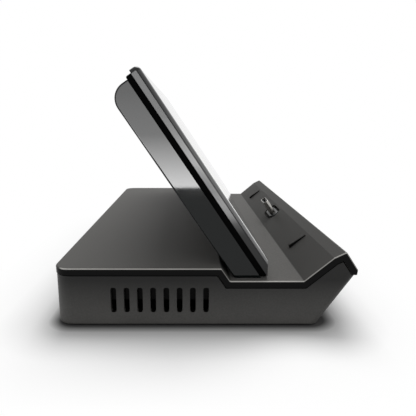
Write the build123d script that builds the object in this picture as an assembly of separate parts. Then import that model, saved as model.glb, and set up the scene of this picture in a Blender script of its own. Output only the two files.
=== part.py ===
from build123d import *
import os
from math import cos, hypot, radians, sin, tan

# Handheld console dock, in millimetres. X runs across the dock, -Y is the front with the ramp and plug,
# +Z is up and the table is at Z = 0.

# Overall form
CASE_WIDTH = 150.0
CASE_DEPTH = 88.8
BOX_TOP = 18.0
FOOT_PROUD = 0.3
LEAN = radians(56.0)
REAR_CORNER = 5.0
FRONT_CORNER = 2.4
BOTTOM_EDGE = 0.7

# Cover
COVER_THICKNESS = 2.1
COVER_EDGE = 0.4
CRADLE_DROP = 3.8
CRADLE_LENGTH = 21.35
RAMP_RUN = 8.3
RAMP_ANGLE = radians(40.4)
LIP_RUN = 3.6
LIP_ANGLE = radians(25.9)
NOSE_RUN = 3.7
NOSE_DROP = 1.45
NOSE_SETBACK = 0.15
BEND_RADIUS = 0.6
INNER_BEND = 0.3
SKIRT_THICKNESS = 1.2
SKIRT_GAP = 0.2
SKIRT_BOTTOM = 7.5
SKIRT_SHORT = 2.0
SKIRT_CORNER_GAP = 3.4
REAR_LIP_DEPTH = 2.5
COVER_RIB = 1.0
COVER_RIB_DEPTH = 1.4
COVER_RIBS = 4
FUSE = 0.3

# Guide fins
FIN_OFFSET = 48.0
FIN_START = 2.9
FIN_LENGTH = 7.0
FIN_THICKNESS = 1.2
FIN_HEIGHT = 1.1
FIN_TAPER = 0.5

# Lower case
CASE_WALL = 2.0
CASE_INSET = 0.15
SEAM_GAP = 0.3
UNDERCUT_RUN = 10.5
VENT_COUNT = 8
VENT_PITCH = 3.89
VENT_WIDTH = 1.7
VENT_HEIGHT = 7.7
VENT_RADIUS = 0.7
VENT_BOTTOM = 4.4
VENT_REAR_OFFSET = 17.6

# Feet
FOOT_LENGTH = 18.0
FOOT_WIDTH = 7.0
FOOT_RECESS = 0.6
FOOT_OFFSET_X = 50.0
FOOT_OFFSET_REAR = 8.0
FOOT_OFFSET_FRONT = 19.0
FOOT_EDGE = 0.25
FOOT_CLEARANCE = 0.1

# Case screws
CASE_SCREW_RADIUS = 1.25
CASE_HEAD_RADIUS = 2.3
CASE_HEAD_HEIGHT = 1.8
CASE_SCREW_LENGTH = 9.0
CASE_SCREW_SIDE = 10.5
CASE_SCREW_REAR = 8.0
CASE_SCREW_FRONT = 19.0
BOSS_WALL = 2.0
BOSS_GAP = 0.1
PILOT_CLEARANCE = 0.05
HOLE_CLEARANCE = 0.2
SEAT_HEIGHT = 3.3
PILOT_REACH = 0.4
RECESS_WIDTH = 0.55
RECESS_DEPTH = 0.9

# Back support
SUPPORT_SIDE_GAP = 2.5
SUPPORT_STEP_GAP = 1.4
SUPPORT_FOOT_DEPTH = 9.8
SHELL_THICKNESS = 6.55
CORE_THICKNESS = 1.85
PLATE_THICKNESS = 2.85
SHELL_LENGTH = 63.7
CORE_LENGTH = 64.7
PLATE_LENGTH = 65.5
CORE_INSET = 1.5
SHELL_WALL = 2.0
SHELL_TOP_RADIUS = 4.8
SHELL_EDGE = 0.5
PLATE_EDGE = 1.3
PLATE_TOP_RADIUS = 1.6
SHELL_BAYS = 6
SHELL_RIB = 1.2
POST_RADIUS = 2.0
POST_WALL = 1.0
POST_REACH = 3.6
POST_CLEARANCE = 0.05
POST_ROWS = (18.0, 50.0)
POST_BAYS = (0, 2, 3, 5)
SUPPORT_SCREW_SETBACK = 3.0
SUPPORT_SCREW_RADIUS = 1.25
SUPPORT_HEAD_RADIUS = 2.3
SUPPORT_HEAD_HEIGHT = 1.6
SUPPORT_SCREW_GRIP = 5.0
SUPPORT_BOSS_HEIGHT = 8.0

# Connector plug and its rocking carrier
PLUG_SETBACK = 10.4
PLUG_WIDTH = 8.25
PLUG_HEIGHT = 2.4
PLUG_EXPOSED = 6.5
PLUG_SUNK = 3.0
PLUG_WALL = 0.28
PLUG_FIT = 0.03
MOUTH_WIDTH = 6.9
MOUTH_HEIGHT = 0.95
MOUTH_DEPTH = 5.6
INSERT_SETBACK = 0.4
NECK_WIDTH = 12.0
NECK_HEIGHT = 4.5
NECK_EDGE = 0.4
APERTURE_WIDTH = 15.5
APERTURE_HEIGHT = 6.5
GASKET_RECESS = 0.9
GASKET_LUG = 1.4
GASKET_LUG_THICKNESS = 0.5
GASKET_CLEARANCE = 0.05
BLOCK_HALF = 9.5
BLOCK_TOP = 3.6
BLOCK_THICKNESS = 2.7
BLOCK_FRONT = 2.4
BLOCK_REAR = 4.4
BLOCK_EDGE = 0.3
PIN_RADIUS = 0.7
PIN_RUNNING = 0.04
PIN_SEAT = 1.0
BRACKET_GAP = 0.5
BRACKET_THICKNESS = 1.4
BRACKET_HALF = 2.2
EAR_LENGTH = 5.6
EAR_TOP = 3.4
EAR_THICKNESS = 1.0
BRACKET_SCREW_RADIUS = 0.75
BRACKET_HEAD_RADIUS = 1.5
BRACKET_HEAD_HEIGHT = 1.1
BRACKET_BOSS_RADIUS = 2.1
BRACKET_SKIN = 0.75
PLUG_BOARD_WIDTH = 16.0
PLUG_BOARD_LENGTH = 5.0
PLUG_BOARD_THICKNESS = 0.8
PLUG_BOARD_START = 0.4
PEG_RADIUS = 0.6
PEG_OFFSET = 6.5

# Main board and what stands on it
BOARD_HALF = 58.0
BOARD_THICKNESS = 1.6
BOARD_STANDOFF = 1.6
BOARD_REAR_GAP = 0.5
BOARD_FRONT_GAP = 5.0
BOARD_CORNER = 1.5
STANDOFF_RADIUS = 2.6
BOARD_SCREW_RADIUS = 0.95
BOARD_HEAD_RADIUS = 1.9
BOARD_HEAD_HEIGHT = 1.2
BOARD_SCREW_INSET = 3.6
BOARD_SCREW_FLOOR = 0.9

# Sockets, as seen from behind the dock
SOCKET_SETBACK = 0.5
SOCKET_OPENING = 0.25
SHELL_SHEET = 0.35
TAIL_CLEARANCE = 0.1
TAIL_PROUD = 0.5
TAIL_LENGTH = 1.4
USB_WIDTH = 13.2
USB_HEIGHT = 5.8
USB_DEPTH = 13.5
HDMI_WIDTH = 15.0
HDMI_HEIGHT = 5.5
HDMI_DEPTH = 11.5
POWER_WIDTH = 8.94
POWER_HEIGHT = 3.26
POWER_DEPTH = 7.6
POWER_X = -44.0
HDMI_X = -21.0
USB_INNER_X = 8.0
USB_OUTER_X = 31.0

# Parts on the board
RIBBON_WIDTH = 10.0
RIBBON_THICKNESS = 0.3
RIBBON_BEND = 4.0
RIBBON_SOCKET_WIDTH = 15.0
RIBBON_SOCKET_LENGTH = 4.4
RIBBON_SOCKET_HEIGHT = 2.1
RIBBON_LIFT = 0.9
RIBBON_GRIP = 2.6
CAN_WIDTH = 36.0
CAN_LENGTH = 22.0
CAN_HEIGHT = 3.2
CAN_X = -16.0
CAN_Y = 15.0
VIDEO_CHIP = 14.0
VIDEO_CHIP_HEIGHT = 1.2
HUB_CHIP = 9.0
HUB_CHIP_HEIGHT = 0.9
POWER_CHIP = 6.0
POWER_CHIP_HEIGHT = 0.8
INDUCTOR = 6.6
INDUCTOR_HEIGHT = 3.0
CAPACITOR_RADIUS = 2.5
CAPACITOR_HEIGHT = 5.4
CAPACITOR_PITCH = 6.0

# Lines that several pieces share
FRONT = -CASE_DEPTH / 2
REAR = CASE_DEPTH / 2
HALF_WIDTH = CASE_WIDTH / 2
FLOOR_TOP = BOX_TOP - CRADLE_DROP
APEX_Y = FRONT + NOSE_RUN
RAMP_TOP_Y = APEX_Y + LIP_RUN
RAMP_FOOT_Y = RAMP_TOP_Y + RAMP_RUN
STEP_FOOT_Y = RAMP_FOOT_Y + CRADLE_LENGTH
STEP_TOP_Y = STEP_FOOT_Y + CRADLE_DROP / tan(LEAN)
RAMP_TOP_Z = FLOOR_TOP + RAMP_RUN * tan(RAMP_ANGLE)
APEX_Z = RAMP_TOP_Z + LIP_RUN * tan(LIP_ANGLE)
TIP_Z = APEX_Z - NOSE_RUN * tan(LEAN)
NOSE_Z = TIP_Z - NOSE_DROP
NOSE_Y = FRONT + NOSE_SETBACK
CASE_REAR = REAR - CASE_INSET
CASE_HALF = HALF_WIDTH - CASE_INSET
INNER_REAR = CASE_REAR - CASE_WALL
INNER_HALF = CASE_HALF - CASE_WALL
CASE_FLOOR = FOOT_PROUD + CASE_WALL
COVER_UNDER = BOX_TOP - COVER_THICKNESS
CRADLE_UNDER = FLOOR_TOP - COVER_THICKNESS
BOARD_UNDER = CASE_FLOOR + BOARD_STANDOFF
BOARD_TOP = BOARD_UNDER + BOARD_THICKNESS
BOARD_REAR = INNER_REAR - BOARD_REAR_GAP
BOARD_FRONT = STEP_FOOT_Y + BOARD_FRONT_GAP
SUPPORT_HALF = HALF_WIDTH - SUPPORT_SIDE_GAP
SUPPORT_Y = STEP_FOOT_Y - SUPPORT_STEP_GAP
BLUNT_Y = SUPPORT_Y - SUPPORT_FOOT_DEPTH
PLUG_Y = FRONT + PLUG_SETBACK
PLUG_Z = FLOOR_TOP + (RAMP_FOOT_Y - PLUG_Y) * tan(RAMP_ANGLE)
PIN_DEPTH = BLOCK_TOP + BLOCK_THICKNESS / 2
TOP_OUTLINE = [
    (REAR, BOX_TOP),
    (STEP_TOP_Y, BOX_TOP),
    (STEP_FOOT_Y, FLOOR_TOP),
    (RAMP_FOOT_Y, FLOOR_TOP),
    (RAMP_TOP_Y, RAMP_TOP_Z),
    (APEX_Y, APEX_Z),
    (FRONT, TIP_Z),
]

# The plug stands on PLUG_FRAME, whose Z is the way the console leaves. RAMP_FRAME has the same origin
# and stands square on the ramp.
PLUG_FRAME = Plane(origin=(0, PLUG_Y, PLUG_Z), x_dir=(1, 0, 0), z_dir=(0, cos(LEAN), sin(LEAN)))
RAMP_FRAME = Plane(
    origin=(0, PLUG_Y, PLUG_Z), x_dir=(1, 0, 0), z_dir=(0, sin(RAMP_ANGLE), cos(RAMP_ANGLE))
)


def cuboid(x_span, y_span, z_span):
    """Box between two limits on each axis."""
    centre = [(low + high) / 2 for low, high in (x_span, y_span, z_span)]
    sizes = [high - low for low, high in (x_span, y_span, z_span)]
    return Pos(*centre) * Box(*sizes)


def post(x, y, z_low, z_high, radius):
    """Upright round post."""
    return Pos(x, y, z_low) * extrude(Circle(radius), z_high - z_low)


def slab(outline, low, high):
    """Outline drawn on XY, made solid from low to high."""
    return Pos(0, 0, low) * extrude(outline, high - low)


def cross_bar(outline, x_low, x_high):
    """Side outline of (y, z), made solid from x_low to x_high."""
    return Pos(x_low, 0, 0) * extrude(Plane.YZ * outline, x_high - x_low)


def side_shape(points, radii):
    """Closed side outline with its own radius at each corner."""
    return make_face(FilletPolyline(*points, radius=radii, close=True))


def shifted(points, distance):
    """Mitred copy of an open outline, moved to its inner side."""
    normals = []
    for (y_0, z_0), (y_1, z_1) in zip(points, points[1:]):
        length = hypot(y_1 - y_0, z_1 - z_0)
        normals.append(((z_0 - z_1) / length, (y_1 - y_0) / length))
    moved = []
    for (y, z), (a_y, a_z), (b_y, b_z) in zip(points, normals[:1] + normals, normals + normals[-1:]):
        scale = distance / (1 + a_y * b_y + a_z * b_z)
        moved.append((y + scale * (a_y + b_y), z + scale * (a_z + b_z)))
    return moved


def along(point, angle, z):
    """The point at height z on the line through point that rises at angle."""
    return (point[0] + (z - point[1]) / tan(angle), z)


def lean_point(depth, length):
    """Side position in the back support: depth forward of its rear face, length up its lean."""
    return (
        SUPPORT_Y - depth * sin(LEAN) + length * cos(LEAN),
        FLOOR_TOP + depth * cos(LEAN) + length * sin(LEAN),
    )


def lean_floor(depth, height=0.0):
    """Where a layer of the back support meets a level plane above the cradle floor."""
    return (SUPPORT_Y - (depth - height * cos(LEAN)) / sin(LEAN), FLOOR_TOP + height)


def lean_blunt(depth):
    """Where a layer of the back support meets the upright face at its toe."""
    length = (depth * sin(LEAN) - SUPPORT_FOOT_DEPTH) / cos(LEAN)
    return lean_point(depth, length)


def support_frame(x, length):
    """Plane on the support's rear face, looking forward."""
    y, z = lean_point(0, length)
    return Plane(origin=(x, y, z), x_dir=(1, 0, 0), z_dir=(0, -sin(LEAN), cos(LEAN)))


def bay_centre(bay):
    """Middle of one bay between the support shell's ribs."""
    return (bay - (SHELL_BAYS - 1) / 2) * (bay_width() + SHELL_RIB)


def bay_width():
    """Clear width between two ribs of the support shell."""
    return (2 * (SUPPORT_HALF - SHELL_WALL) - (SHELL_BAYS - 1) * SHELL_RIB) / SHELL_BAYS


def case_screw_places():
    """Centres of the screws that close the case."""
    x = INNER_HALF - CASE_SCREW_SIDE + CASE_WALL
    return [(side * x, y) for side in (-1, 1) for y in (REAR - CASE_SCREW_REAR, FRONT + CASE_SCREW_FRONT)]


def foot_places():
    """Centres of the rubber feet, by name."""
    places = {}
    for row, y in (("rear", REAR - FOOT_OFFSET_REAR), ("front", FRONT + FOOT_OFFSET_FRONT)):
        places[f"foot_{row}_left"] = (-FOOT_OFFSET_X, y)
        places[f"foot_{row}_right"] = (FOOT_OFFSET_X, y)
    return places


def board_screw_places():
    """Centres of the screws that hold the main board."""
    x = BOARD_HALF - BOARD_SCREW_INSET
    return [
        (side * x, y)
        for side in (-1, 1)
        for y in (BOARD_FRONT + BOARD_SCREW_INSET, BOARD_REAR - BOARD_SCREW_INSET)
    ]


def support_screw_places():
    """Centres of the screws that hold the back support down."""
    y = SUPPORT_Y - SUPPORT_SCREW_SETBACK
    return [(bay_centre(bay), y) for bay in POST_BAYS]


def pan_screw(x, y, seat, length, radius, head_radius, head_height, up=True):
    """Screw with a cross recess. Its head bears on the level seat and its shank runs up or down."""
    shank = extrude(Circle(radius), length)
    head = Pos(0, 0, -head_height) * extrude(Circle(head_radius), head_height)
    rim = head.edges().group_by(Axis.Z)[0]
    head = fillet(rim, head_height / 3)
    slot = Box(RECESS_WIDTH, head_radius * 1.2, 2 * RECESS_DEPTH)
    recess = Pos(0, 0, -head_height) * (slot + Rot(0, 0, 90) * slot)
    screw = shank + head - recess
    if not up:
        screw = Rot(180, 0, 0) * screw
    return Pos(x, y, seat) * screw


def cover_band():
    """The bent sheet of the cover, from its rear edge over the ramp to the nose."""
    inner = shifted(TOP_OUTLINE, COVER_THICKNESS)
    inner[-1] = along(inner[-1], LEAN, NOSE_Z)
    outline = TOP_OUTLINE + [(NOSE_Y, NOSE_Z)] + inner[::-1]
    outer_radii = [0] + [BEND_RADIUS] * 6 + [0]
    inner_radii = [0] + [INNER_BEND] * 5 + [0]
    band = cross_bar(side_shape(outline, outer_radii + inner_radii), -HALF_WIDTH, HALF_WIDTH)
    rear_edges = band.edges().filter_by(Axis.Z).filter_by_position(Axis.Y, REAR - 0.1, REAR + 0.1)
    band = fillet(rear_edges, REAR_CORNER)
    return fillet(cover_rim(band), COVER_EDGE)


def cover_rim(band):
    """Upper edges of the cover band: both ends and the rear."""
    rim = []
    for edge in band.edges():
        y, z = edge.center().Y, edge.center().Z
        at_end = abs(abs(edge.center().X) - HALF_WIDTH) < REAR_CORNER
        on_rear = y > REAR - REAR_CORNER and abs(z - BOX_TOP) < 0.01
        on_side = at_end and outline_gap(TOP_OUTLINE, y, z) < BEND_RADIUS / 2
        if on_rear or on_side:
            rim.append(edge)
    return rim


def outline_gap(points, y, z):
    """Distance from (y, z) to the nearest run of an outline."""
    gaps = []
    for (y_0, z_0), (y_1, z_1) in zip(points, points[1:]):
        run_y, run_z = y_1 - y_0, z_1 - z_0
        share = ((y - y_0) * run_y + (z - z_0) * run_z) / (run_y**2 + run_z**2)
        share = min(1, max(0, share))
        gaps.append(hypot(y - y_0 - share * run_y, z - z_0 - share * run_z))
    return min(gaps)


def end_skirt(side):
    """Inner skirt that drops inside one end wall of the case, deep behind the vents."""
    upper = shifted(TOP_OUTLINE, COVER_THICKNESS - FUSE)
    lower = shifted(TOP_OUTLINE, COVER_THICKNESS + SKIRT_SHORT)
    rear_limit = INNER_REAR - SKIRT_CORNER_GAP
    front_limit = STEP_FOOT_Y + SKIRT_CORNER_GAP
    outline = [
        (rear_limit, upper[0][1]),
        upper[1],
        upper[2],
        upper[3],
        upper[4],
        lower[4],
        lower[3],
        (front_limit, lower[3][1]),
        (front_limit, SKIRT_BOTTOM),
        (rear_limit, SKIRT_BOTTOM),
    ]
    outer = INNER_HALF - SKIRT_GAP
    skirt = cross_bar(side_shape(outline, [0] * len(outline)), outer - SKIRT_THICKNESS, outer)
    return skirt if side > 0 else mirror(skirt, Plane.YZ)


def guide_fin(side):
    """Tapered fin that runs up the ramp beside the console."""
    ramp = Plane(
        origin=(side * FIN_OFFSET, RAMP_FOOT_Y, FLOOR_TOP),
        x_dir=(0, -cos(RAMP_ANGLE), sin(RAMP_ANGLE)),
        z_dir=(-1, 0, 0),
    )
    outline = [
        (FIN_START, -FUSE),
        (FIN_START, FIN_HEIGHT * 0.7),
        (FIN_START + 0.8, FIN_HEIGHT),
        (FIN_START + FIN_LENGTH, FIN_TAPER),
        (FIN_START + FIN_LENGTH, -FUSE),
    ]
    face = make_face(Polyline(*outline, close=True))
    fin = extrude(ramp * face, FIN_THICKNESS / 2, both=True)
    crest = fin.faces().sort_by(Axis.Z)[-2:]
    return fillet(ShapeList(crest).edges().filter_by(Axis.X, reverse=True), FIN_THICKNESS / 5)


def cover_bosses():
    """Posts under the cover that take the case screws."""
    bosses = Part()
    for x, y in case_screw_places():
        under = COVER_UNDER if y > STEP_TOP_Y else CRADLE_UNDER
        meet = boss_meeting(y)
        bosses += post(x, y, meet + BOSS_GAP, under + FUSE, CASE_SCREW_RADIUS + BOSS_WALL)
    return bosses


def boss_meeting(y):
    """Height at which the case boss ends and the cover boss begins."""
    under = COVER_UNDER if y > STEP_TOP_Y else CRADLE_UNDER
    return (SEAT_HEIGHT + under) / 2 - BOSS_GAP


def top_cover():
    """Cover with skirts, fins, ribs, bosses and the plug's opening."""
    cover = cover_band() + cover_bosses()
    for side in (-1, 1):
        cover += end_skirt(side)
        cover += guide_fin(side)
        boss_x = side * bracket_screw_x()
        cover += PLUG_FRAME * post(boss_x, 0, -EAR_TOP, -COVER_THICKNESS / 2, BRACKET_BOSS_RADIUS)
    lip_rear = INNER_REAR - SKIRT_GAP
    lip_half = INNER_HALF - REAR_CORNER
    lip_span = (COVER_UNDER - REAR_LIP_DEPTH, COVER_UNDER + FUSE)
    cover += cuboid((-lip_half, lip_half), (lip_rear - SKIRT_THICKNESS, lip_rear), lip_span)
    rib_span = (COVER_UNDER - COVER_RIB_DEPTH, COVER_UNDER + FUSE)
    rib_pitch = 2 * BOARD_HALF / (COVER_RIBS - 1)
    for rib in range(COVER_RIBS):
        x = rib * rib_pitch - BOARD_HALF
        y_span = (STEP_TOP_Y, lip_rear - SKIRT_THICKNESS / 2)
        cover += cuboid((x - COVER_RIB / 2, x + COVER_RIB / 2), y_span, rib_span)
    opening = slab(SlotOverall(APERTURE_WIDTH, APERTURE_HEIGHT), -2 * COVER_THICKNESS, COVER_THICKNESS)
    cover -= RAMP_FRAME * opening
    for side in (-1, 1):
        pilot = BRACKET_SCREW_RADIUS + PILOT_CLEARANCE
        cover -= PLUG_FRAME * post(side * bracket_screw_x(), 0, -2 * EAR_TOP, -BRACKET_SKIN, pilot)
    for x, y in case_screw_places():
        tip = SEAT_HEIGHT + CASE_SCREW_LENGTH + PILOT_REACH
        cover -= post(x, y, 0, tip, CASE_SCREW_RADIUS + PILOT_CLEARANCE)
    for x, y in support_screw_places():
        cover -= post(x, y, 0, BOX_TOP, SUPPORT_SCREW_RADIUS + HOLE_CLEARANCE)
    return cover


def case_outline():
    """Side outline of the lower case, under the seam."""
    seam = shifted(TOP_OUTLINE, COVER_THICKNESS + SEAM_GAP)
    seam[0] = (CASE_REAR, seam[0][1])
    seam[-1] = along(seam[-1], LEAN, NOSE_Z - SEAM_GAP)
    toe = (NOSE_Y + UNDERCUT_RUN, FOOT_PROUD)
    points = [(CASE_REAR, FOOT_PROUD)] + seam + [(NOSE_Y, NOSE_Z - SEAM_GAP), toe]
    radii = [0, 0] + [INNER_BEND] * 5 + [0, 0, 0]
    return points, radii


def case_cavity():
    """The hollow inside the lower case, open at the top."""
    undercut = [(NOSE_Y, NOSE_Z - SEAM_GAP), (NOSE_Y + UNDERCUT_RUN, FOOT_PROUD)]
    front_top, front_toe = shifted(undercut, CASE_WALL)
    slope = (front_top[1] - front_toe[1]) / (front_toe[0] - front_top[0])
    toe_y = front_toe[0] - (CASE_FLOOR - front_toe[1]) / slope
    headroom = APEX_Z + COVER_THICKNESS
    points = [
        (INNER_REAR, CASE_FLOOR),
        (INNER_REAR, headroom),
        (front_top[0], headroom),
        front_top,
        (toe_y, CASE_FLOOR),
    ]
    cavity = cross_bar(side_shape(points, [0] * 5), -INNER_HALF, INNER_HALF)
    rear_edges = cavity.edges().filter_by(Axis.Z).filter_by_position(Axis.Y, INNER_REAR - 0.1, REAR)
    return fillet(rear_edges, REAR_CORNER - CASE_WALL)


def vent_slots():
    """Upright slots through both end walls."""
    slots = Part()
    outline = RectangleRounded(VENT_WIDTH, VENT_HEIGHT, VENT_RADIUS)
    for number in range(VENT_COUNT):
        y = REAR - VENT_REAR_OFFSET - number * VENT_PITCH
        frame = Plane(origin=(0, y, VENT_BOTTOM + VENT_HEIGHT / 2), x_dir=(0, 1, 0), z_dir=(1, 0, 0))
        slots += extrude(frame * outline, CASE_WIDTH, both=True)
    slots -= Box(2 * INNER_HALF - 1, CASE_DEPTH, 2 * BOX_TOP)
    return slots


def bottom_case():
    """Moulded tub with vents, socket openings, bosses and foot recesses."""
    points, radii = case_outline()
    case = cross_bar(side_shape(points, radii), -CASE_HALF, CASE_HALF)
    upright = case.edges().filter_by(Axis.Z).filter_by_position(Axis.Y, CASE_REAR - 0.1, REAR)
    case = fillet(upright, REAR_CORNER)
    middle = (NOSE_Y + UNDERCUT_RUN / 2, (NOSE_Z + FOOT_PROUD) / 2)
    slanted = [
        edge
        for edge in case.edges()
        if hypot(edge.center().Y - middle[0], edge.center().Z - middle[1]) < 1 and abs(edge.center().X) > 1
    ]
    case = fillet(slanted, FRONT_CORNER)
    case = fillet(case.faces().sort_by(Axis.Z)[0].edges(), BOTTOM_EDGE)
    case -= case_cavity()
    for x, y in case_screw_places():
        case += post(x, y, CASE_FLOOR - FUSE, boss_meeting(y), CASE_SCREW_RADIUS + BOSS_WALL + 0.4)
    for x, y in board_screw_places():
        case += post(x, y, CASE_FLOOR - FUSE, BOARD_UNDER, STANDOFF_RADIUS)
    for x, y in case_screw_places():
        case -= post(x, y, 0, SEAT_HEIGHT, CASE_HEAD_RADIUS + HOLE_CLEARANCE)
        case -= post(x, y, 0, BOX_TOP, CASE_SCREW_RADIUS + HOLE_CLEARANCE)
    for x, y in board_screw_places():
        pilot = BOARD_SCREW_RADIUS + PILOT_CLEARANCE
        case -= post(x, y, FOOT_PROUD + BOARD_SCREW_FLOOR, BOX_TOP, pilot)
    for x, y in foot_places().values():
        recess = SlotOverall(FOOT_LENGTH + 2 * FOOT_CLEARANCE, FOOT_WIDTH + 2 * FOOT_CLEARANCE)
        case -= Pos(x, y, 0) * slab(recess, 0, FOOT_PROUD + FOOT_RECESS)
    for outline, x, height in socket_outlines():
        opening = offset(outline, SOCKET_OPENING)
        case -= socket_frame(x, height) * slab(opening, -CASE_WALL * 2, CASE_WALL)
    return case - vent_slots()


def foot(x, y):
    """Rubber foot that sits in a recess of the case."""
    pad = Pos(x, y, 0) * slab(SlotOverall(FOOT_LENGTH, FOOT_WIDTH), 0, FOOT_PROUD + FOOT_RECESS)
    return chamfer(pad.edges().group_by(Axis.Z)[0], FOOT_EDGE)


def support_rear_shell():
    """Hollow rear shell of the back support, ribbed, with screw bosses and post sockets."""
    envelope = [
        lean_floor(0),
        lean_floor(SHELL_THICKNESS),
        lean_point(SHELL_THICKNESS, SHELL_LENGTH),
        lean_point(0, SHELL_LENGTH),
    ]
    face = side_shape(envelope, [0, 0, 0, SHELL_TOP_RADIUS])
    solid = cross_bar(face, -SUPPORT_HALF, SUPPORT_HALF)
    ends = []
    for edge in solid.edges():
        y, z = edge.center().Y, edge.center().Z
        depth = (SUPPORT_Y - y) * sin(LEAN) + (z - FLOOR_TOP) * cos(LEAN)
        at_end = abs(abs(edge.center().X) - SUPPORT_HALF) < 0.01
        if at_end and depth < SHELL_THICKNESS - SHELL_EDGE and z > FLOOR_TOP + SHELL_EDGE:
            ends.append(edge)
    shell = fillet(ends, SHELL_EDGE)
    hollow = [
        lean_floor(SHELL_WALL, SHELL_WALL),
        lean_floor(SHELL_THICKNESS + FUSE, SHELL_WALL),
        lean_point(SHELL_THICKNESS + FUSE, SHELL_LENGTH - SHELL_WALL),
        lean_point(SHELL_WALL, SHELL_LENGTH - SHELL_WALL),
    ]
    hollow_face = side_shape(hollow, [0, 0, 0, SHELL_TOP_RADIUS - SHELL_WALL])
    for bay in range(SHELL_BAYS):
        low = bay_centre(bay) - bay_width() / 2
        shell -= cross_bar(hollow_face, low, low + bay_width())
    for x, y in support_screw_places():
        boss = post(x, y, FLOOR_TOP, FLOOR_TOP + SUPPORT_BOSS_HEIGHT, SUPPORT_SCREW_RADIUS + BOSS_WALL)
        shell += boss & solid
    for x, y in support_screw_places():
        tip = FLOOR_TOP + SUPPORT_SCREW_GRIP + PILOT_REACH
        shell -= post(x, y, 0, tip, SUPPORT_SCREW_RADIUS + PILOT_CLEARANCE)
    bore = POST_RADIUS + POST_CLEARANCE
    for bay in POST_BAYS:
        for row in POST_ROWS:
            frame = support_frame(bay_centre(bay), row)
            shell += frame * post(0, 0, SHELL_WALL - FUSE, SHELL_THICKNESS - FUSE, bore + POST_WALL)
            shell -= frame * post(0, 0, SHELL_WALL, SHELL_THICKNESS, bore)
    return shell


def support_core():
    """Recessed middle frame of the back support."""
    back = SHELL_THICKNESS
    front = SHELL_THICKNESS + CORE_THICKNESS
    outline = [
        lean_floor(back),
        (BLUNT_Y, FLOOR_TOP),
        lean_blunt(front),
        lean_point(front, CORE_LENGTH),
        lean_point(back, CORE_LENGTH),
    ]
    half = SUPPORT_HALF - CORE_INSET
    core = cross_bar(side_shape(outline, [0, 0, 0, 0, SHELL_EDGE]), -half, half)
    for bay in POST_BAYS:
        for row in POST_ROWS:
            hole = post(0, 0, 0, 2 * front, POST_RADIUS + HOLE_CLEARANCE)
            core -= support_frame(bay_centre(bay), row) * hole
    return core


def support_front_plate():
    """Front plate with rounded edges and the posts that locate it."""
    back = SHELL_THICKNESS + CORE_THICKNESS
    front = back + PLATE_THICKNESS
    outline = [
        lean_blunt(back),
        lean_blunt(front),
        lean_point(front, PLATE_LENGTH),
        lean_point(back, PLATE_LENGTH),
    ]
    face = side_shape(outline, [0, 0, PLATE_TOP_RADIUS, 0])
    plate = cross_bar(face, -SUPPORT_HALF, SUPPORT_HALF)
    rim = []
    for edge in plate.edges():
        y, z = edge.center().Y, edge.center().Z
        depth = (SUPPORT_Y - y) * sin(LEAN) + (z - FLOOR_TOP) * cos(LEAN)
        at_end = abs(abs(edge.center().X) - SUPPORT_HALF) < 0.01
        if at_end and depth > front - PLATE_EDGE / 2 and z > FLOOR_TOP + PLATE_LENGTH / 3:
            rim.append(edge)
    plate = fillet(rim, PLATE_EDGE)
    for bay in POST_BAYS:
        for row in POST_ROWS:
            peg = post(0, 0, back - POST_REACH - CORE_THICKNESS, back + FUSE, POST_RADIUS)
            plate += support_frame(bay_centre(bay), row) * peg
    return plate


def stadium_tube(width, height, wall, low, high):
    """Tube with a stadium section."""
    outer = slab(SlotOverall(width, height), low, high)
    return outer - slab(SlotOverall(width - 2 * wall, height - 2 * wall), low, high)


def plug_shell():
    """Drawn metal shell of the plug."""
    tube = stadium_tube(PLUG_WIDTH, PLUG_HEIGHT, PLUG_WALL, -PLUG_SUNK, PLUG_EXPOSED)
    tip = tube.edges().group_by(Axis.Z)[-1].sort_by(SortBy.LENGTH)
    return PLUG_FRAME * fillet(tip[-4:], PLUG_WALL / 3)


def plug_insert():
    """Plastic body and contact liner inside the plug shell."""
    bore = 2 * (PLUG_WALL + PLUG_FIT)
    top = PLUG_EXPOSED - INSERT_SETBACK
    body = slab(SlotOverall(PLUG_WIDTH - bore, PLUG_HEIGHT - bore), -PLUG_SUNK, top)
    mouth = RectangleRounded(MOUTH_WIDTH, MOUTH_HEIGHT, MOUTH_HEIGHT / 3)
    return PLUG_FRAME * (body - slab(mouth, PLUG_EXPOSED - MOUTH_DEPTH, PLUG_EXPOSED))


def plug_carrier():
    """Neck and rocking block that hold the plug, bored for the pivot pin."""
    block = cuboid(
        (-BLOCK_HALF, BLOCK_HALF), (-BLOCK_FRONT, BLOCK_REAR), (-BLOCK_TOP - BLOCK_THICKNESS, -BLOCK_TOP)
    )
    block = fillet(block.edges(), BLOCK_EDGE)
    neck = slab(SlotOverall(NECK_WIDTH, NECK_HEIGHT), -BLOCK_TOP - BLOCK_EDGE, 0)
    neck = fillet(neck.edges().group_by(Axis.Z)[-1], NECK_EDGE)
    carrier = block + neck
    pocket = SlotOverall(PLUG_WIDTH + 2 * PLUG_FIT, PLUG_HEIGHT + 2 * PLUG_FIT)
    carrier -= slab(pocket, -PLUG_SUNK, PLUG_SUNK)
    bore = Rot(0, 90, 0) * extrude(Circle(PIN_RADIUS + PIN_RUNNING), CASE_WIDTH / 4, both=True)
    carrier -= Pos(0, 0, -PIN_DEPTH) * bore
    under = -BLOCK_TOP - BLOCK_THICKNESS
    for side in (-1, 1):
        peg_bottom = under - PLUG_BOARD_THICKNESS - FUSE
        carrier += post(side * PEG_OFFSET, plug_board_middle(), peg_bottom, under + FUSE, PEG_RADIUS)
    return PLUG_FRAME * carrier


def plug_board_middle():
    """Middle of the plug board, behind the plug's axis."""
    return PLUG_BOARD_START + PLUG_BOARD_LENGTH / 2


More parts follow.
